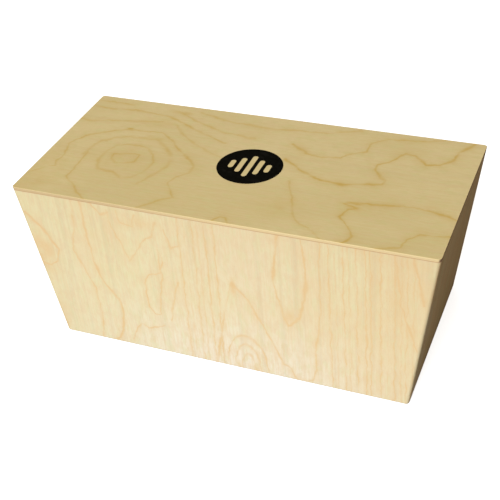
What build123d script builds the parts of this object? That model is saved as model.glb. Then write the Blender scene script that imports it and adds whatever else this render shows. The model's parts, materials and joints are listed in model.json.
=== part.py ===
"""Bongo cajon: a two-voice hand drum box, held between the knees and struck on its top plate.

The box is a prism. Its front and rear panels are upright and its two end panels lean in towards
the open rim at the bottom. A thin plywood plate is glued over the top, and an upright divider
under it splits the inside into a small high-voiced chamber and a large low-voiced one.

Frame: millimetres, +Z up, +X to the right, -Y to the front. The origin is the centre of the
open rim, on the plane that the instrument stands on.
"""

from build123d import *
import os
from math import cos, radians, sin, tan

# ---------------------------------------------------------------- driving dimensions
PLATE_LENGTH = 400.0  # playing surface, left to right
DEPTH = 178.0  # front to rear, the same at the rim and at the plate
HEIGHT = 169.0  # rim to playing surface
END_LEAN = radians(8.2)  # how far each end panel leans in towards the rim

PLATE_THICKNESS = 3.0  # three-ply birch
WALL = 9.0  # seven-ply birch, for the panels and the divider

CORNER_RADIUS = 3.0  # round-over down the four long corners, through plate and walls alike
RIM_EASE = 1.6  # round-over of the rim's outer arris
INNER_RIM_EASE = 0.8  # round-over of the rim's inner arris
PLATE_EASE = 0.4  # round-over of the plate's upper arris

DIVIDER_X = -32.0  # middle of the divider: the small chamber is on the left
DIVIDER_RECESS = 2.0  # the divider stops this far above the rim

LINING_HEIGHT = 10.0  # strips under the plate that widen its glue seat
LINING_WIDTH = 9.0
CLEAT_SIZE = 9.0  # square strips that trap the divider at the front and rear
BLOCK_LEG = 18.0  # each leg of a triangular corner block
STRIP_FOOT = 8.0  # blocks and cleats stop this far above the rim
STRIP_EASE = 0.8  # planed-off arrises of the strips and blocks

BADGE_LENGTH = 62.0  # oval decal, left to right
BADGE_WIDTH = 58.0
BADGE_THICKNESS = 0.2
BADGE_OFFSET = 1.3  # its middle sits this far to the right of the plate's
BADGE_BAR_WIDTH = 5.2  # round-ended bars cut out of the decal, like a sound level meter
BADGE_BAR_PITCH = 8.8
BADGE_BAR_LENGTHS = (13.0, 24.0, 35.0, 24.0, 13.0)

# ---------------------------------------------------------------- derived sizes
SEAT_Z = HEIGHT - PLATE_THICKNESS  # where the plate sits on the walls
STRIP_TOP = SEAT_Z - LINING_HEIGHT  # blocks and cleats stop under the linings
INNER_DEPTH = DEPTH - 2 * WALL


def half_length(z, inset=0.0):
    """Half of the box's length at height z, less an inset measured square to the leaning end."""
    return PLATE_LENGTH / 2 - (HEIGHT - z) * tan(END_LEAN) - inset / cos(END_LEAN)


def end_normal(side):
    """Outward normal of the left (-1) or right (+1) end panel, which faces slightly down."""
    return Vector(side * cos(END_LEAN), 0, -sin(END_LEAN))


def tapered_block(low, high, inset, depth):
    """A solid prism between two heights whose ends lean like the end panels."""
    outline = Polygon(
        (-half_length(low, inset), low),
        (half_length(low, inset), low),
        (half_length(high, inset), high),
        (-half_length(high, inset), high),
        align=None,
    )
    return extrude(Plane.XZ * outline, amount=depth / 2, both=True)


def end_plane(side, inset):
    """Plane parallel to an end panel's outer face, this far inside it, facing outwards."""
    return Plane(origin=(side * half_length(0, inset), 0, 0), z_dir=end_normal(side))


def mitre_plane(side, face):
    """Plane through a long corner, halfway between end panel and front (-1) or rear (+1) panel."""
    corner = (side * half_length(0), face * DEPTH / 2, 0)
    return Plane(origin=corner, z_dir=end_normal(side) - Vector(0, face, 0))


def outer_part(shape, plane):
    return split(shape, bisect_by=plane, keep=Keep.TOP)


def inner_part(shape, plane):
    return split(shape, bisect_by=plane, keep=Keep.BOTTOM)


def slab(low, high, shape):
    """The part of a shape between two heights."""
    return inner_part(outer_part(shape, Plane.XY.offset(low)), Plane.XY.offset(high))


def tall_edges(shape, least):
    """Edges that climb at least this far."""
    return [edge for edge in shape.edges() if edge.bounding_box().size.Z >= least]


# ---------------------------------------------------------------- the box and its plate
def rounded_outside():
    """The whole outer form as one block, with every outer arris eased."""
    block = tapered_block(0, HEIGHT, 0, DEPTH)
    block = fillet(tall_edges(block, HEIGHT / 2), CORNER_RADIUS)
    block = fillet(block.faces().sort_by(Axis.Z)[0].edges(), RIM_EASE)
    return fillet(block.faces().sort_by(Axis.Z)[-1].edges(), PLATE_EASE)


def plate():
    """The playing plate, glued over the walls."""
    return slab(SEAT_Z, HEIGHT + 1, rounded_outside())


def walls():
    """The four walls as one ring, before the mitres part them."""
    ring = slab(-1, SEAT_Z, rounded_outside())
    ring -= tapered_block(-1, SEAT_Z + 1, WALL, INNER_DEPTH)
    rim = ring.faces().sort_by(Axis.Z)[0]
    inner_arrises = rim.inner_wires()[0].edges()
    return fillet(inner_arrises, INNER_RIM_EASE)


def long_panel(ring, face):
    """Front (-1) or rear (+1) panel, cut to its mitres."""
    panel = outer_part(ring, Plane(origin=(0, face * INNER_DEPTH / 2, 0), z_dir=(0, face, 0)))
    for side in (-1, 1):
        panel = inner_part(panel, mitre_plane(side, face))
    return panel


def end_panel(ring, side):
    """Left (-1) or right (+1) end panel, cut to its mitres."""
    panel = outer_part(ring, end_plane(side, WALL))
    for face in (-1, 1):
        panel = outer_part(panel, mitre_plane(side, face))
    return panel


def divider():
    """Upright board between the two chambers, glued to the plate and to both long panels."""
    height = SEAT_Z - DIVIDER_RECESS
    board = Box(WALL, INNER_DEPTH, height)
    board = Pos(DIVIDER_X, 0, DIVIDER_RECESS + height / 2) * board
    return fillet(board.faces().sort_by(Axis.Z)[0].edges().filter_by(Axis.Y), INNER_RIM_EASE)


# ---------------------------------------------------------------- strips and blocks inside
def chamber(side):
    """The clear space of the left (-1) or right (+1) chamber, as a block."""
    space = tapered_block(0, SEAT_Z, WALL, INNER_DEPTH)
    face_x = DIVIDER_X + side * WALL / 2
    return outer_part(space, Plane(origin=(face_x, 0, 0), z_dir=(side, 0, 0)))


def long_lining(side, face):
    """Strip under the plate along the front or rear panel of one chamber."""
    strip = slab(STRIP_TOP, SEAT_Z, chamber(side))
    back = Plane(origin=(0, face * (INNER_DEPTH / 2 - LINING_WIDTH), 0), z_dir=(0, face, 0))
    strip = outer_part(strip, back)
    lower_arris = strip.edges().filter_by(Axis.X).group_by(Axis.Z)[0]
    return chamfer(lower_arris.sort_by(Axis.Y)[0 if face > 0 else -1], STRIP_EASE)


def end_lining(side):
    """Strip under the plate along an end panel, between the front and rear linings."""
    strip = slab(STRIP_TOP, SEAT_Z, chamber(side))
    strip = outer_part(strip, end_plane(side, WALL + LINING_WIDTH))
    for face in (-1, 1):
        back = Plane(origin=(0, face * (INNER_DEPTH / 2 - LINING_WIDTH), 0), z_dir=(0, face, 0))
        strip = inner_part(strip, back)
    lower_arris = strip.edges().filter_by(Axis.Y).group_by(Axis.Z)[0]
    return chamfer(lower_arris.sort_by(Axis.X)[0 if side > 0 else -1], STRIP_EASE)


def divider_cleat(side, face):
    """Square strip beside the divider, glued to it and to the front or rear panel."""
    height = STRIP_TOP - STRIP_FOOT
    x = DIVIDER_X + side * (WALL + CLEAT_SIZE) / 2
    y = face * (INNER_DEPTH - CLEAT_SIZE) / 2
    cleat = Pos(x, y, STRIP_FOOT + height / 2) * Box(CLEAT_SIZE, CLEAT_SIZE, height)
    free_arris = cleat.edges().filter_by(Axis.Z)
    free_arris = free_arris.sort_by(lambda edge: side * edge.center().X - face * edge.center().Y)
    return chamfer(free_arris[-1], STRIP_EASE)


def corner_block(side, face):
    """Triangular block glued into a mitred corner, leaning with it."""
    space = slab(STRIP_FOOT, STRIP_TOP, chamber(side))
    corner = Vector(side * half_length(0, WALL), face * INNER_DEPTH / 2, 0)
    towards_corner = (end_normal(side) + Vector(0, face, 0)).normalized()
    slope_to_corner = BLOCK_LEG * cos(radians(45))
    slope = Plane(origin=corner - towards_corner * slope_to_corner, z_dir=towards_corner)
    block = outer_part(space, slope)
    thin_arrises = ShapeList(tall_edges(block, (STRIP_TOP - STRIP_FOOT) / 2))
    thin_arrises = thin_arrises.sort_by(lambda edge: (edge.center() - corner).dot(towards_corner))
    return fillet(thin_arrises[:2], STRIP_EASE / 2)


# ---------------------------------------------------------------- decal
def badge():
    """Oval decal close to the middle of the plate, with a plain row of bars cut out of it."""
    oval = Ellipse(BADGE_LENGTH / 2, BADGE_WIDTH / 2)
    middle = (len(BADGE_BAR_LENGTHS) - 1) / 2
    for index, length in enumerate(BADGE_BAR_LENGTHS):
        bar = SlotOverall(length, BADGE_BAR_WIDTH, rotation=90)
        oval -= Pos((index - middle) * BADGE_BAR_PITCH, 0) * bar
    return Pos(BADGE_OFFSET, 0, HEIGHT) * extrude(oval, amount=BADGE_THICKNESS)


# ---------------------------------------------------------------- the assembly
SIDES = {"left": -1, "right": 1}
FACES = {"front": -1, "rear": 1}
VOICES = {"high": -1, "low": 1}  # the small chamber on the left sounds the high voice


def build_parts():
    """Every separate piece, by node name."""
    ring = walls()
    parts = {
        "playing_plate": plate(),
        "badge_decal": badge(),
        "divider_panel": divider(),
    }
    for face_name, face in FACES.items():
        parts[f"{face_name}_panel"] = long_panel(ring, face)
    for side_name, side in SIDES.items():
        parts[f"{side_name}_end_panel"] = end_panel(ring, side)
    for voice, side in VOICES.items():
        parts[f"end_lining_{voice}"] = end_lining(side)
        for face_name, face in FACES.items():
            parts[f"{face_name}_lining_{voice}"] = long_lining(side, face)
            parts[f"divider_cleat_{face_name}_{voice}"] = divider_cleat(side, face)
    for side_name, side in SIDES.items():
        for face_name, face in FACES.items():
            parts[f"corner_block_{face_name}_{side_name}"] = corner_block(side, face)
    return parts


os.makedirs("parts", exist_ok=True)
for node, shape in build_parts().items():
    export_step(shape, f"parts/{node}.step")
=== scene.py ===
"""Looks of the bongo cajon: rotary-cut birch plywood, satin lacquer and a printed decal."""

import json
from math import cos, radians, sin

import bmesh
import bpy
from mathutils import Matrix, Vector

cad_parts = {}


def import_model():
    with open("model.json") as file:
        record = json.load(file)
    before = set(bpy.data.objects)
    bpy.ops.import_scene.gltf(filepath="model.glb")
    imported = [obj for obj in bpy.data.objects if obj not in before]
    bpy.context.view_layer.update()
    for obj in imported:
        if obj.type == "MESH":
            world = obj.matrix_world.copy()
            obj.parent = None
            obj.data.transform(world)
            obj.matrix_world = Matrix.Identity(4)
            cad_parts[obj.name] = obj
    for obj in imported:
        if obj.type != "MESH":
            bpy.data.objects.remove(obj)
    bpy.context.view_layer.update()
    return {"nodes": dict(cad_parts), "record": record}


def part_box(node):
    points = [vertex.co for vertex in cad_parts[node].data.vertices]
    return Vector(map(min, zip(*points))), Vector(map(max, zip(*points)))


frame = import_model()

MM = 0.001
NODES = frame["nodes"]


# ---------------------------------------------------------------- arithmetic on shader sockets
class Value:
    """A number in a shader. Ordinary arithmetic on it adds the nodes that it needs."""

    def __init__(self, tree, socket):
        self.tree = tree
        self.socket = socket

    def _math(self, operation, *others):
        made = add_node(self.tree, "Math", (self, *others), operation=operation)
        return Value(self.tree, made.outputs[0])

    def __add__(self, other):
        return self._math("ADD", other)

    def __sub__(self, other):
        return self._math("SUBTRACT", other)

    def __mul__(self, other):
        return self._math("MULTIPLY", other)

    def __truediv__(self, other):
        return self._math("DIVIDE", other)

    def __rsub__(self, other):
        return (self * -1) + other

    __radd__ = __add__
    __rmul__ = __mul__

    def __abs__(self):
        return self._math("ABSOLUTE")

    def squared(self):
        return self._math("MULTIPLY", self)

    def root(self):
        return self._math("SQRT")

    def exp(self):
        return self._math("EXPONENT")

    def floor(self):
        return self._math("FLOOR")

    def least(self, other):
        return self._math("MINIMUM", other)

    def most(self, other):
        return self._math("MAXIMUM", other)

    def above(self, other):
        return self._math("GREATER_THAN", other)


def add_node(tree, kind, inputs=(), **settings):
    """A shader node with its settings made and its inputs fed, in order or by name."""
    node = tree.nodes.new("ShaderNode" + kind)
    for name, value in settings.items():
        setattr(node, name, value)
    for key, value in inputs.items() if isinstance(inputs, dict) else enumerate(inputs):
        if isinstance(value, Value):
            tree.links.new(value.socket, node.inputs[key])
        elif isinstance(value, bpy.types.NodeSocket):
            tree.links.new(value, node.inputs[key])
        else:
            node.inputs[key].default_value = value
    return node


def vector(tree, x, y, z):
    """A vector socket made of three numbers or values."""
    return add_node(tree, "CombineXYZ", (x, y, z)).outputs[0]


def noise(tree, u, v, seed, detail=2.0, rough=0.5):
    """Smooth noise over u and v, about -1 to 1 round a mean of 0. Each seed gives its own."""
    place = vector(tree, u, v, seed)
    inputs = {"Vector": place, "Scale": 1.0, "Detail": detail, "Roughness": rough}
    made = add_node(tree, "TexNoise", inputs, noise_dimensions="3D", normalize=False)
    return Value(tree, made.outputs[0])


def dice(tree, value, seed):
    """A fixed random number from 0 to 1 for each whole value."""
    inputs = {"Vector": vector(tree, value, seed, 0.0)}
    made = add_node(tree, "TexWhiteNoise", inputs, noise_dimensions="3D")
    return Value(tree, made.outputs[0])


def ramp(value, low, high):
    """0 below low, 1 above high, and smooth between them."""
    inputs = {"Value": value, "From Min": low, "From Max": high, "To Min": 0.0, "To Max": 1.0}
    made = add_node(value.tree, "MapRange", inputs, interpolation_type="SMOOTHSTEP")
    return Value(value.tree, made.outputs[0])


def mix(tree, share, first, second):
    """A colour between two others. Colours are (red, green, blue) or sockets."""
    made = add_node(tree, "Mix", data_type="RGBA")
    factor, first_colour, second_colour = made.inputs[0], made.inputs[6], made.inputs[7]
    if isinstance(share, Value):
        tree.links.new(share.socket, factor)
    else:
        factor.default_value = share
    for colour, socket in ((first, first_colour), (second, second_colour)):
        if isinstance(colour, bpy.types.NodeSocket):
            tree.links.new(colour, socket)
        else:
            socket.default_value = (*colour, 1.0)
    return made.outputs[2]


def dot(tree, socket, direction):
    """How far the vector in a socket reaches along a direction."""
    made = add_node(tree, "VectorMath", (socket, tuple(direction)), operation="DOT_PRODUCT")
    return Value(tree, made.outputs["Value"])


# ---------------------------------------------------------------- growth rings drawn one by one
SHADE_REACH = 3.5  # millimetres over which the shade beside a ring fades
SHADE_SHARE = 0.34  # how strong that shade is beside the ring itself
SWAY, SWAY_LENGTH = 1.5, 15  # slow wander of every ring: how far, and over what length
SHAKE, SHAKE_LENGTH = 0.4, 3  # quick wander on top of it
FADE, FADE_LENGTH, FAINTEST = 0.9, 16, 0.15  # how rings come and go along their length
BLUR, BLUR_LENGTH = 0.8, 25  # how their width varies
LANE_JITTER, LANE_FAINTEST = 0.55, 0.35  # uneven spacing and strength of straight rings


class Ink:
    """Growth rings on a board's face, in millimetres to the right and up on it."""

    def __init__(self, x, y, seed):
        tree = x.tree
        self.tree = tree
        self.seed = seed
        self.x = x + self.wander(x, y, seed)
        self.y = y + self.wander(x, y, seed + 2)
        self.place = vector(tree, self.x, self.y, 0.0)
        fade = noise(tree, x / FADE_LENGTH, y / FADE_LENGTH, seed + 4, 2)
        self.uneven = (1 + FADE * fade).most(FAINTEST)
        self.blur = 1 + BLUR * noise(tree, x / BLUR_LENGTH, y / BLUR_LENGTH, seed + 5, 1)
        self.line = None
        self.shade = None
        self.sap_and_glow = None

    def wander(self, x, y, seed):
        """How far every ring is pushed aside at a place."""
        slow = SWAY * noise(self.tree, x / SWAY_LENGTH, y / SWAY_LENGTH, seed, 2, 0.6)
        return slow + SHAKE * noise(self.tree, x / SHAKE_LENGTH, y / SHAKE_LENGTH, seed + 1, 1)

    def draw(self, distance, strength, width):
        """A ring at a distance, with a soft shade beside it."""
        line = ((distance / (self.blur * width)).squared() * -1).exp() * strength
        shade = ((distance / (self.blur * SHADE_REACH)) * -1).exp() * (SHADE_SHARE * strength)
        self.line = line if self.line is None else self.line.most(line)
        self.shade = shade if self.shade is None else self.shade.most(shade)

    def path(self, strength, *corners, width=0.9):
        """A ring that runs from corner to corner."""
        nearest = None
        for start, end in zip(corners, corners[1:]):
            gap = self.gap(start, Vector((end[0] - start[0], end[1] - start[1], 0.0)))
            nearest = gap if nearest is None else nearest.least(gap)
        self.draw(nearest, strength, width)

    def gap(self, start, run):
        """Distance from the straight run that leaves start."""
        tree = self.tree
        inputs = (self.place, (*start, 0.0))
        offset = add_node(tree, "VectorMath", inputs, operation="SUBTRACT").outputs[0]
        share = dot(tree, offset, run / run.length_squared).most(0.0).least(1.0)
        inputs = {0: tuple(run), "Scale": share}
        foot = add_node(tree, "VectorMath", inputs, operation="SCALE").outputs[0]
        made = add_node(tree, "VectorMath", (offset, foot), operation="DISTANCE")
        return Value(tree, made.outputs["Value"])

    def oval(self, strength, centre, reach, width=0.9):
        """A closed ring."""
        mean_reach = min(reach) * 0.5 + max(reach) * 0.5
        distance = abs(self.spread(centre, reach).root() - 1) * mean_reach
        self.draw(distance, strength, width)

    def lanes(self, strength, first, last, pitch, lean=0.0, width=0.7):
        """Straight rings side by side from first to last, unevenly spaced and unevenly strong."""
        across = self.x + lean * self.y
        lane = ((across - first) / pitch + 0.5).floor()
        jitter = (dice(self.tree, lane, self.seed) - 0.5) * (LANE_JITTER * pitch)
        centre = lane * pitch + first + jitter
        inside = across.above(first - pitch / 2) * (1 - across.above(last + pitch / 2))
        power = LANE_FAINTEST + dice(self.tree, lane, self.seed + 1)
        self.draw(abs(across - centre), inside * power * strength, width)

    def spread(self, centre, reach):
        """Squared distance from the centre, where 1 is on the oval with this reach."""
        right = ((self.x - centre[0]) / reach[0]).squared()
        up = ((self.y - centre[1]) / reach[1]).squared()
        return right + up

    def patch(self, strength, centre, reach):
        """A soft oval patch."""
        return (self.spread(centre, reach) * -1).exp() * strength

    def stain(self, strength, centre, reach):
        """A soft darker patch."""
        self.shade = self.shade.most(self.patch(strength, centre, reach))

    def sapwood_and_glow(self, strength, centre, reach):
        """A broad whiter patch: paler wood, and on the front panel also a painted glow of light."""
        made = self.patch(strength, centre, reach)
        self.sap_and_glow = made if self.sap_and_glow is None else self.sap_and_glow.most(made)

    def finish(self):
        """The lines, the shade, and the sapwood with painted glow, from 0 to about 1."""
        return self.line * self.uneven, self.shade * self.uneven, self.sap_and_glow


def plate_figure(u, v, seed):
    """The playing plate: a whorl on the left, bands over it, and a stepped lobe on the right."""
    ink = Ink(u, v, seed)
    ink.path(0.85, (-133, -12), (-115, -7), (-108, -8), (-107, -21), (-116, -25), (-126, -26),
             (-132, -20), (-133, -12), width=1.2)
    ink.path(0.62, (-126, 6), (-138, 2), (-142, -8), (-144, -22), (-141, -32), (-135, -41),
             (-119, -41), (-108, -49), (-98, -45), (-91, -34), (-89, -17), (-95, -6), (-104, 4),
             (-115, 7), (-126, 6), width=1.3)
    ink.path(0.55, (-162, -20), (-160, -3), (-156, 6), (-147, 14), (-132, 20), (-103, 21),
             (-92, 13), (-80, 1), (-74, -11), (-74, -21), (-80, -36), (-88, -54), width=1.6)
    ink.path(0.75, (-200, -64), (-187, -51), (-179, -46), (-182, -37), (-180, -29), (-186, -6),
             (-182, 4), (-174, 14), (-157, 25), (-141, 32), (-104, 34), (-90, 24), (-74, 8),
             (-57, -4), (-49, -14), (-49, -25), (-57, -33), (-61, -45), (-47, -65), (-58, -75),
             (-72, -89), width=1.1)
    ink.path(0.8, (-160, -10), (-158, -60), (-125, -89))
    ink.path(0.7, (-196, 79), (-156, 78))
    ink.path(0.7, (-200, 67), (-176, 65), (-152, 70), (-108, 64), (-56, 39), (-36, 32), width=1.3)
    ink.path(0.6, (-200, 40), (-184, 39), (-158, 46), (-114, 53), width=1.3)
    ink.path(0.6, (-106, 77), (-84, 65), (-46, 50), (-12, 46), width=1.4)
    ink.path(0.6, (-82, 80), (-48, 70), (0, 68), (52, 73), (82, 85), width=1.2)
    ink.path(0.5, (-98, 51), (-76, 31), (-48, 14), (-32, 8), width=1.2)
    ink.path(1.2, (28, 19), (56, 1), (72, -5), (92, -7), (126, 2), (127, 7), (113, 22),
             (112, 31), (121, 38), (133, 56), (142, 55), (155, 42), (166, 45), (176, 55),
             (179, 70), (189, 88), width=1.1)
    ink.path(0.95, (27, 46), (44, 34), (60, 31), (78, 35), (83, 43), (97, 50), (98, 66),
             (110, 76), (148, 81), (162, 88))
    ink.path(1.3, (102, -34), (112, -30), (126, -30), (160, -25), (182, -28), (200, -34))
    ink.path(1.3, (102, -34), (116, -39), (108, -42), (105, -54), (116, -66), (123, -78),
             (118, -89))
    ink.path(0.95, (145, -89), (165, -82), (167, -70), (176, -61), (200, -58))
    ink.path(0.75, (45, -14), (57, -40), (66, -63), (76, -73), (88, -79), (98, -89))
    ink.path(1.0, (2, -89), (6, -81), (12, -82), (17, -89))
    ink.stain(1.0, (-140, 34), (3.4, 1.5))
    ink.stain(0.45, (-102, 75), (11, 4))
    ink.stain(0.9, (112, -32), (8, 2.2))
    ink.stain(0.5, (109, -38), (5, 2.0))
    ink.stain(0.28, (-126, -16), (24, 18))
    ink.stain(0.35, (-107, 23), (11, 4))
    ink.stain(0.28, (-118, 50), (22, 9))
    ink.stain(0.22, (50, -56), (16, 14))
    ink.stain(0.2, (-198, -62), (38, 55))
    ink.sapwood_and_glow(0.35, (80, 24), (60, 26))
    ink.sapwood_and_glow(0.6, (-25, 28), (75, 50))
    return ink.finish()


def front_figure(u, v, seed):
    """The front panel: low arches in the middle, straight grain, wandering rings on the left."""
    ink = Ink(v, u, seed)
    ink.path(1.2, (-192, 141), (-178, 129), (-163, 104), (-168, 89), (-176, 83), (-186, 85), width=1.4)
    ink.path(0.75, (-138, 166), (-140, 138), (-147, 110), (-131, 64), (-130, 32), (-134, 2))
    ink.path(0.95, (-129, 166), (-127, 98), (-120, 74), (-106, 53), (-105, 38), (-111, 12),
             (-119, 2), width=1.1)
    ink.path(0.75, (-103, 160), (-101, 146), (-87, 107), (-69, 134), (-60, 140), (-55, 156))
    ink.path(1.0, (-118, 166), (-110, 154), (-102, 158))
    ink.path(0.6, (-92, 162), (-91, 150), (-79, 148), (-75, 160))
    ink.path(1.0, (-55, 126), (-52, 112), (-57, 99), (-70, 94), (-75, 84), (-75, 56),
             (-69, 47), (-64, 48), (-56, 100), (-56, 122))
    ink.path(0.72, (-99, 8), (-94, 22), (-87, 31), (-79, 27), (-62, 34))
    ink.path(0.78, (-47, 150), (-42, 130), (-34, 134), (-32, 150))
    ink.path(0.72, (-40, 92), (-50, 62), (-53, 42))
    ink.path(0.75, (-10, 2), (4, 68), (14, 104), (28, 86), (44, 54), (58, 18), (66, 14), (70, 3), width=1.1)
    ink.oval(0.65, (22, 6), (20, 37), width=1.2)
    ink.oval(0.65, (22, 2), (13, 30), width=1.2)
    ink.oval(0.60, (23, 0), (7, 20), width=1.2)
    ink.path(0.95, (61, 166), (54, 118), (61, 78), (66, 66), (77, 78), (85, 118), (82, 166), width=1.2)
    ink.path(0.78, (70, 2), (86, 5), (90, 20), (91, 48), (97, 88), (98, 166))
    ink.path(1.15, (163, 166), (168, 114), (182, 66))
    ink.path(1.3, (178, 166), (188, 118))
    ink.lanes(0.65, -36, -4, 6.5, -0.03)
    ink.lanes(0.75, 106, 178, 6.2, width=0.6)
    ink.stain(0.85, (-182, 98), (13, 20))
    ink.stain(0.60, (-176, 12), (5, 24))
    ink.stain(0.95, (15, 99), (3.2, 9))
    ink.stain(0.55, (66, 76), (7, 9))
    ink.stain(0.60, (13, 3), (5, 7))
    ink.stain(0.60, (31, 3), (5, 8))
    ink.stain(0.40, (-70, 152), (26, 8))
    # Painted shade: darker towards the front's right edge.
    ink.stain(0.40, (165, 112), (9, 30))
    # Painted light: the large pale patch low in the middle of the front is a glow, as of light bounced up
    # from the pale floor.
    ink.sapwood_and_glow(1.0, (12, -6), (140, 72))
    ink.sapwood_and_glow(0.2, (-150, 60), (30, 90))
    ink.sapwood_and_glow(0.3, (15, 105), (95, 75))
    return ink.finish()


# ---------------------------------------------------------------- growth rings counted over a board
def plain_rings(u, v, seed):
    """Unremarkable birch: long wandering lines with an arch or two. Lengths are millimetres."""
    tree = u.tree
    x = v + 8 * noise(tree, u / 90, v / 40, seed, 1)
    rings = x / 26 + 2.6 * noise(tree, u / 170, x / 55, seed + 5, 1)
    return rings + 0.07 * noise(tree, u / 12, v / 5, seed + 7, 1)


def ring_group(name, rings, seed):
    """A node group with the ring count at (u, v), in millimetres along and across the grain."""
    group = bpy.data.node_groups.new(name, "ShaderNodeTree")
    for label in ("u", "v"):
        group.interface.new_socket(name=label, in_out="INPUT", socket_type="NodeSocketFloat")
    group.interface.new_socket(name="rings", in_out="OUTPUT", socket_type="NodeSocketFloat")
    entry = group.nodes.new("NodeGroupInput")
    leave = group.nodes.new("NodeGroupOutput")
    result = rings(Value(group, entry.outputs[0]), Value(group, entry.outputs[1]), seed)
    group.links.new(result.socket, leave.inputs[0])
    return group


def count_rings(group, u, v):
    """The ring count at a place, from a group made by ring_group."""
    made = add_node(u.tree, "Group", node_tree=group)
    u.tree.links.new(u.socket, made.inputs[0])
    u.tree.links.new(v.socket, made.inputs[1])
    return Value(u.tree, made.outputs[0])


PLAIN_SHADE_REACH = 4.5  # millimetres over which the shade beside a counted ring fades
FLATTEST = 0.012  # fewest rings per millimetre, so that no line spreads where the count is level


def plain_figure(u, v, seed):
    """Rings wherever the count passes a whole number, with a soft shade on one side of each."""
    tree = u.tree
    group = ring_group("rings_%d" % seed, plain_rings, seed)
    step = 0.6  # millimetres between the counts that give the slope
    here = count_rings(group, u, v)
    slope_u = (count_rings(group, u + step, v) - here) / step
    slope_v = (count_rings(group, u, v + step) - here) / step
    slope = (slope_u.squared() + slope_v.squared()).root().most(FLATTEST)
    past = here - here.floor()
    nearest = (here + 0.5).floor()
    distance = past.least(1 - past) / slope
    width = 0.75 + 0.6 * dice(tree, nearest, seed)
    width = width + 0.35 * noise(tree, u / 30, v / 15, seed + 11, 1)
    strength = 0.62 + 0.5 * dice(tree, nearest, seed + 1)
    strength = strength + 0.55 * noise(tree, u / 34, v / 16, seed + 13, 1)
    line = ((distance / width).squared() * -1).exp() * ramp(strength, 0.0, 1.2)
    shade = ((past / slope / PLAIN_SHADE_REACH) * -1).exp() * ramp(strength, 0.1, 1.2)
    shade = shade * SHADE_SHARE
    sap_and_glow = ramp(noise(tree, u / 140, v / 60, seed + 15, 1), 0.0, 0.6)
    return line, shade, sap_and_glow


# ---------------------------------------------------------------- wood
RIGHT, BACK, UP = Vector((1, 0, 0)), Vector((0, 1, 0)), Vector((0, 0, 1))


class Board:
    """A plywood board: a point on its outer face, its directions, its plies and its look.

    ply is the thickness of one ply in millimetres, drift the change of tone per millimetre
    across the grain, and streaks how dark the long streaks are.
    """

    def __init__(
        self, origin, grain, across, out, plies, ply, figure, seed, tones, drift=0.0, streaks=0.12
    ):
        self.origin = origin
        self.grain = grain
        self.across = across
        self.out = out
        self.drift = drift
        self.streaks = streaks
        self.plies = plies
        self.ply = ply
        self.figure = figure
        self.seed = seed
        self.tones = tones


def new_material(name):
    """An empty node material, and its tree."""
    material = bpy.data.materials.new(name)
    material.use_nodes = True
    tree = material.node_tree
    tree.nodes.clear()
    return material, tree


def finish_material(tree, colour, roughness, height, specular):
    """Principled surface with a colour, a roughness and a bump height in millimetres."""
    bump = add_node(tree, "Bump", {"Strength": 1.0, "Distance": MM, "Height": height})
    inputs = {"Roughness": roughness, "Normal": bump.outputs[0], "Specular IOR Level": specular}
    surface = add_node(tree, "BsdfPrincipled", {"Base Color": colour, **inputs})
    add_node(tree, "OutputMaterial", (surface.outputs[0],))


# The joint under the plate, a thin dark line: the glue line with the shade under the plate's edge painted
# into it. Lengths are in millimetres.
SEAM_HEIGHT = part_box("playing_plate")[0].z / MM
SEAM_WIDTH, SEAM_SHADE_SHARE = 0.45, 0.70
SEAM_SHADE_TONE = (0.42, 0.22, 0.12)
END_DARK_AND_SHADE_TONE = (0.12, 0.055, 0.035)  # dark end grain of the plate's short edges, with the shade on them painted in

LACQUER_ROUGHNESS, LACQUER_SPECULAR = 0.46, 0.35
FIBRE_HEIGHT, PORE_DEPTH = 0.012, 0.03  # relief, in millimetres
GREEN_SHARE, ROSE_SHARE, SPECK_SHARE = 0.45, 0.32, 0.35
DIM_START, DIM_END, DIM_SHADE_SHARE = -20, 120, 0.28  # painted shade: edges darken back along the grain
PLY_SLACK = 0.02  # part of a ply that keeps a point right on a face inside the outer ply
CUT_START, CUT_END = 0.2, 0.8  # how squarely the grain is cut where end grain starts and is full


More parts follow.
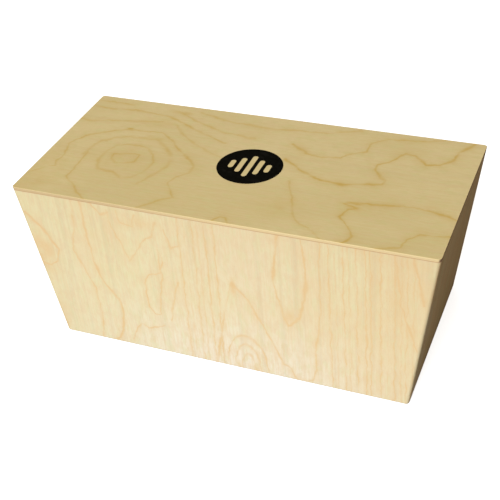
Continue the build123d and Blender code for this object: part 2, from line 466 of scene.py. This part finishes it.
def plywood(name, board):
    """Birch plywood whose plies show wherever the surface cuts below the face veneer."""
    material, tree = new_material(name)
    place = add_node(tree, "TexCoord").outputs["Object"]
    offset = add_node(tree, "VectorMath", (place, tuple(board.origin)), operation="SUBTRACT")
    u, v, depth = (
        dot(tree, offset.outputs[0], way / MM) for way in (board.grain, board.across, -board.out)
    )
    normal = add_node(tree, "NewGeometry").outputs["True Normal"]
    tones = board.tones

    def texture(length, width, seed, detail=2, rough=0.5):
        """Noise with features this long and this wide, in millimetres."""
        return noise(tree, u / length, v / width, board.seed + seed, detail, rough)

    # The ply under each point, and whether it is cut along or across its own grain.
    ply = board.ply
    layer = (depth / ply + PLY_SLACK).floor().most(0).least(board.plies - 1)
    cross = layer - (layer / 2).floor() * 2
    ends = ramp(abs(dot(tree, normal, board.grain)), CUT_START, CUT_END)
    sides = ramp(abs(dot(tree, normal, board.across)), CUT_START, CUT_END)
    end_grain = ends * (1 - cross) + sides * cross * tones["cross"]
    facing = ramp(dot(tree, normal, board.out), 0.45, 0.8)
    inside = ramp(depth, ply * 0.9, ply * 1.02).most(1 - facing)

    # Face veneer: rings, soft bands, slow changes of tone, paler sapwood with a painted glow, fibres and
    # pores.
    line, shade, sap_and_glow = board.figure(u, v, board.seed)
    cloud = texture(110, 50, 21)
    fleck = texture(9, 2.2, 23)
    fibre = texture(38, 1.1, 25)
    greener = ramp(texture(16, 8, 29, 3, 0.65), -0.05, 0.5)
    rosier = ramp(texture(14, 9, 37, 3, 0.65), -0.05, 0.5)
    pore = ramp(texture(3.2, 0.22, 27, 1), 0.32, 0.6)
    streak = ramp(texture(260, 7, 35, 2, 0.6), -0.1, 0.7)
    colour = mix(tree, ramp(cloud + v * board.drift, -0.5, 0.5), tones["pale"], tones["deep"])
    for share, tone in (
        (sap_and_glow, "sap_and_glow"),
        (greener * GREEN_SHARE, "green"),
        (rosier * ROSE_SHARE, "rose"),
        (streak * board.streaks, "heart"),
        (shade, "ring"),
        (line * tones["line"], "ring"),
        (ramp(fibre + fleck, -0.9, 0.9) * tones["fibre"], "ring"),
        (pore * tones["pore"], "dark"),
    ):
        colour = mix(tree, share, colour, tones[tone])

    # Edges: each ply has its own tone, and end grain is darker and speckled. Painted shade dims them
    # towards the low end of u, which is the plate's left end and the rim of the end panels.
    dim = ramp(u * -1, DIM_START, DIM_END) * DIM_SHADE_SHARE
    speck = ramp(texture(0.5, 0.5, 31, 1), 0.0, 0.6)
    edge = mix(tree, dice(tree, layer, board.seed + 33), tones["edge_pale"], tones["edge_deep"])
    edge = mix(tree, end_grain, edge, tones["end"])
    edge = mix(tree, dim, edge, tones["end"])
    # Painted shade: the plate's short edges go darker than their end grain, as if in shadow.
    edge = mix(tree, ends * tones["end_dark_and_shade"], edge, END_DARK_AND_SHADE_TONE)
    edge = mix(tree, speck * end_grain * SPECK_SHARE, edge, tones["dark"])
    colour = mix(tree, inside, colour, edge)
    # Painted shade: a thin dark line along the joint under the plate.
    above_seam = dot(tree, place, UP / MM) - SEAM_HEIGHT
    seam_shade = ((above_seam / SEAM_WIDTH).squared() * -1).exp()
    colour = mix(tree, seam_shade * SEAM_SHADE_SHARE, colour, SEAM_SHADE_TONE)

    roughness = LACQUER_ROUGHNESS + 0.05 * cloud + 0.06 * fibre
    height = FIBRE_HEIGHT * fibre - PORE_DEPTH * pore
    finish_material(tree, colour, roughness, height, LACQUER_SPECULAR)
    return material


PINE_EARLY, PINE_LATE, PINE_FIBRE = (0.72, 0.51, 0.25), (0.52, 0.30, 0.11), (0.60, 0.39, 0.17)
PINE_PITCH = 2.2  # millimetres from ring to ring


def pine(name, grain, seed):
    """Bare planed pine strips: straight close grain along one axis."""
    material, tree = new_material(name)
    place = add_node(tree, "TexCoord").outputs["Object"]
    u = dot(tree, place, Vector(grain) / MM)
    across = Vector((grain[2], grain[0], grain[1]))
    third = Vector(grain).cross(across)
    v = dot(tree, place, across / MM)
    w = dot(tree, place, third / MM)
    bend = noise(tree, u / 120, v / 30, seed, 1)
    rings = (v + 0.6 * w + 3 * bend) / PINE_PITCH
    past = rings - rings.floor()
    late = ramp(past, 0.55, 0.95)
    fibre = noise(tree, u / 20, (v + w) / 0.4, seed + 3, 2)
    colour = mix(tree, late * 0.7, PINE_EARLY, PINE_LATE)
    colour = mix(tree, ramp(fibre, -0.6, 0.6) * 0.35, colour, PINE_FIBRE)
    finish_material(tree, colour, 0.62 + 0.06 * fibre, height=0.03 * fibre, specular=0.3)
    return material


INK_DARK, INK_PALE = (0.0018, 0.0022, 0.0018), (0.0040, 0.0045, 0.0040)
INK_RUBBED = (0.016, 0.015, 0.014)


def badge_ink(name):
    """Matte black print, faintly mottled, with a few rubbed spots."""
    material, tree = new_material(name)
    place = add_node(tree, "TexCoord").outputs["Object"]
    x = dot(tree, place, RIGHT / MM)
    y = dot(tree, place, BACK / MM)
    mottle = noise(tree, x / 3, y / 3, 5.0, 3)
    rub = ramp(noise(tree, x / 14, y / 9, 9.0, 3), 0.25, 0.7)
    colour = mix(tree, ramp(mottle, -0.6, 0.6), INK_DARK, INK_PALE)
    colour = mix(tree, rub * 0.3, colour, INK_RUBBED)
    finish_material(tree, colour, 0.75 + 0.08 * mottle, height=0.006 * mottle, specular=0.06)
    return material


# ---------------------------------------------------------------- tones, as linear colours
# The last entries are shares: how strong ring lines, fibres, pores, the darkened short edges
# (dark end grain and painted shade) and the end grain of the cross plies are.
PANEL = {
    "pale": (0.690, 0.626, 0.384), "deep": (0.690, 0.580, 0.352), "sap_and_glow": (0.755, 0.692, 0.560),
    "green": (0.650, 0.612, 0.365), "rose": (0.672, 0.530, 0.345), "heart": (0.36, 0.24, 0.13),
    "ring": (0.680, 0.492, 0.262), "dark": (0.40, 0.26, 0.12), "end": (0.40, 0.27, 0.15),
    "edge_pale": (0.735, 0.598, 0.368), "edge_deep": (0.71, 0.565, 0.340),
    "line": 0.90, "fibre": 0.35, "pore": 0.10, "end_dark_and_shade": 0.0, "cross": 0.55,
}
PLATE = {
    **PANEL,
    "pale": (0.704, 0.616, 0.340), "deep": (0.662, 0.572, 0.300), "sap_and_glow": (0.71, 0.62, 0.355),
    "green": (0.640, 0.600, 0.300), "rose": (0.700, 0.565, 0.325),
    "ring": (0.580, 0.422, 0.125), "end": (0.30, 0.18, 0.10),
    "edge_pale": (0.735, 0.598, 0.335), "edge_deep": (0.71, 0.57, 0.31),
    "line": 0.58, "fibre": 0.17, "end_dark_and_shade": 0.75, "cross": 0.15,
}


# ---------------------------------------------------------------- boards, placed from the frame
PLATE_LOW, PLATE_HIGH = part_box("playing_plate")
FRONT_LOW, FRONT_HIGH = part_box("front_panel")
MOUNTS = {mount["name"]: mount for mount in frame["record"]["mounts"]}
PLATE_PLIES, PANEL_PLIES = 3, 7
PLATE_PLY = (PLATE_HIGH.z - PLATE_LOW.z) / PLATE_PLIES / MM
PANEL_PLY = (FRONT_HIGH.y - FRONT_LOW.y) / PANEL_PLIES / MM
END_STREAKS = 0.35
PINE_SEED = 300.0  # the first seed for pine, past those of the boards


def panel(origin, grain, across, out, figure, seed, **looks):
    """A board of the box's own plywood."""
    origin = Vector(origin)
    return Board(
        origin, grain, across, out, PANEL_PLIES, PANEL_PLY, figure, seed, PANEL, **looks
    )


def end_panel(mount_name, seed):
    """An end panel: its face and its lean come from the mount on it."""
    mount = MOUNTS[mount_name]
    out = Vector(mount["axis"])
    uphill = Vector((-out.z * (1 if out.x > 0 else -1), 0, abs(out.x)))
    return panel(mount["pos_m"], uphill, BACK, out, plain_figure, seed, streaks=END_STREAKS)


BOARDS = {
    "playing_plate": Board(
        Vector((0, 0, PLATE_HIGH.z)), RIGHT, BACK, UP, PLATE_PLIES, PLATE_PLY,
        plate_figure, seed=2.0, tones=PLATE, drift=-0.005, streaks=0.05,
    ),
    "front_panel": panel(
        (0, FRONT_LOW.y, 0), UP, RIGHT, -BACK, front_figure, seed=40.0, drift=0.0022
    ),
    "rear_panel": panel((0, -FRONT_LOW.y, 0), UP, RIGHT, BACK, plain_figure, seed=80.0),
    "left_end_panel": end_panel("knee_left", seed=120.0),
    "right_end_panel": end_panel("knee_right", seed=160.0),
    "divider_panel": panel(
        (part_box("divider_panel")[1].x, 0, 0), UP, BACK, RIGHT, plain_figure, seed=200.0
    ),
}


def dress(node, material):
    """Puts a material on a CAD node in place of its own."""
    slots = node.data.materials
    slots.clear()
    slots.append(material)


for index, (name, node) in enumerate(sorted(NODES.items())):
    if name in BOARDS:
        dress(node, plywood(name + "_birch", BOARDS[name]))
    elif name == "badge_decal":
        dress(node, badge_ink("badge_black"))
    else:
        low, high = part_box(name)
        size = high - low
        longest = max(range(3), key=lambda axis: size[axis])
        grain = tuple(1.0 if axis == longest else 0.0 for axis in range(3))
        dress(node, pine(name + "_pine", grain, PINE_SEED + index))


# ---------------------------------------------------------------- studio
MIDDLE = Vector((0, 0, PLATE_HIGH.z / 2))
WHITE = (1.0, 1.0, 1.0)
FLOOR_RADIUS = 6.0
FLOOR_GAP = 0.0002  # from the rim down to the floor, in metres
FLOOR_GLOW = 0.86  # brightness near the object, which leaves a soft shadow
FLOOR_GLOW_RISE = 0.19  # how much brighter it is far away
FLOOR_TONE, FLOOR_BOUNCE = (0.58, 0.64, 0.72), (0.20, 0.17, 0.14)


def direction(azimuth, elevation):
    """Unit vector from the object at these angles; azimuth 0 is straight in front."""
    turn, rise = radians(azimuth), radians(elevation)
    return Vector((sin(turn) * cos(rise), -cos(turn) * cos(rise), sin(rise)))


def camera(azimuth, elevation, roll, distance, shift, lens):
    """A camera turned by roll about its own axis and moved sideways and up by shift."""
    back = direction(azimuth, elevation)
    level = UP.cross(back).normalized()
    upright = back.cross(level)
    turn = radians(roll)
    right = cos(turn) * level + sin(turn) * upright
    up = cos(turn) * upright - sin(turn) * level
    place = MIDDLE + distance * back - shift[0] * right - shift[1] * up
    data = bpy.data.cameras.new("camera")
    data.lens = lens
    made = bpy.data.objects.new("camera", data)
    rotation = Matrix((right, up, back)).transposed().to_4x4()
    made.matrix_world = Matrix.Translation(place) @ rotation
    bpy.context.scene.collection.objects.link(made)
    bpy.context.scene.camera = made


def softbox(name, azimuth, elevation, distance, width, height, watts, colour):
    """A rectangular area light that faces the object."""
    data = bpy.data.lights.new(name, "AREA")
    data.shape = "RECTANGLE"
    data.size, data.size_y = width, height
    data.energy = watts
    data.color = colour
    made = bpy.data.objects.new(name, data)
    towards = direction(azimuth, elevation)
    made.location = MIDDLE + towards * distance
    made.rotation_euler = towards.to_track_quat("Z", "Y").to_euler()
    made.visible_glossy = False
    made.visible_camera = False
    bpy.context.scene.collection.objects.link(made)


def seen_by_camera(tree):
    """1 for what the camera sees directly, 0 for reflected and bounced light."""
    return Value(tree, add_node(tree, "LightPath").outputs["Is Camera Ray"])


def world(ambient, strength, backdrop):
    """One plain colour to the camera, and a weak glow to everything else."""
    made = bpy.data.worlds.new("world")
    bpy.context.scene.world = made
    made.use_nodes = True
    tree = made.node_tree
    tree.nodes.clear()
    glow = add_node(tree, "Background", {"Color": (*ambient, 1.0), "Strength": strength})
    plain = add_node(tree, "Background", {"Color": (*backdrop, 1.0), "Strength": 1.0})
    chosen = add_node(tree, "MixShader", (seen_by_camera(tree), glow.outputs[0], plain.outputs[0]))
    add_node(tree, "OutputWorld", (chosen.outputs[0],))


def floor():
    """A wide round floor: pale to the camera, with a soft shadow, and dim to bounced light."""
    mesh = bpy.data.meshes.new("floor")
    shape = bmesh.new()
    bmesh.ops.create_circle(shape, cap_ends=True, radius=FLOOR_RADIUS, segments=96)
    shape.to_mesh(mesh)
    shape.free()
    made = bpy.data.objects.new("floor", mesh)
    made.location.z = -FLOOR_GAP
    bpy.context.scene.collection.objects.link(made)
    material, tree = new_material("floor_white")
    place = add_node(tree, "TexCoord").outputs["Object"]
    away = Value(tree, add_node(tree, "VectorMath", (place,), operation="LENGTH").outputs["Value"])
    brightness = FLOOR_GLOW + FLOOR_GLOW_RISE * ramp(away, 0.3, 1.6)
    glow = add_node(tree, "Emission", {"Color": (*WHITE, 1.0), "Strength": brightness})
    lit = add_node(tree, "BsdfDiffuse", {"Color": (*FLOOR_TONE, 1.0)})
    dim = add_node(tree, "BsdfDiffuse", {"Color": (*FLOOR_BOUNCE, 1.0)})
    pale = add_node(tree, "AddShader", (lit.outputs[0], glow.outputs[0]))
    chosen = add_node(tree, "MixShader", (seen_by_camera(tree), dim.outputs[0], pale.outputs[0]))
    add_node(tree, "OutputMaterial", (chosen.outputs[0],))
    mesh.materials.append(material)


camera(
    azimuth=25.355, elevation=36.843, roll=-5.707, distance=0.98349,
    shift=(0.005292, 0.009595), lens=73.39,
)
softbox(
    "key", azimuth=-7, elevation=36, distance=6.0, width=2.5, height=2.5, watts=394, colour=WHITE
)
softbox(
    "low_front", azimuth=2, elevation=-14, distance=0.30, width=0.7, height=0.03, watts=0.33,
    colour=(0.64, 0.82, 1.0),
)
softbox(
    "rear_fill", azimuth=202, elevation=8, distance=2.6, width=1.2, height=0.5, watts=30,
    colour=WHITE,
)
world(ambient=(1.0, 0.71, 0.41), strength=0.268, backdrop=WHITE)
floor()
bpy.context.scene.view_settings.view_transform = "Standard"
bpy.context.scene.view_settings.look = "None"
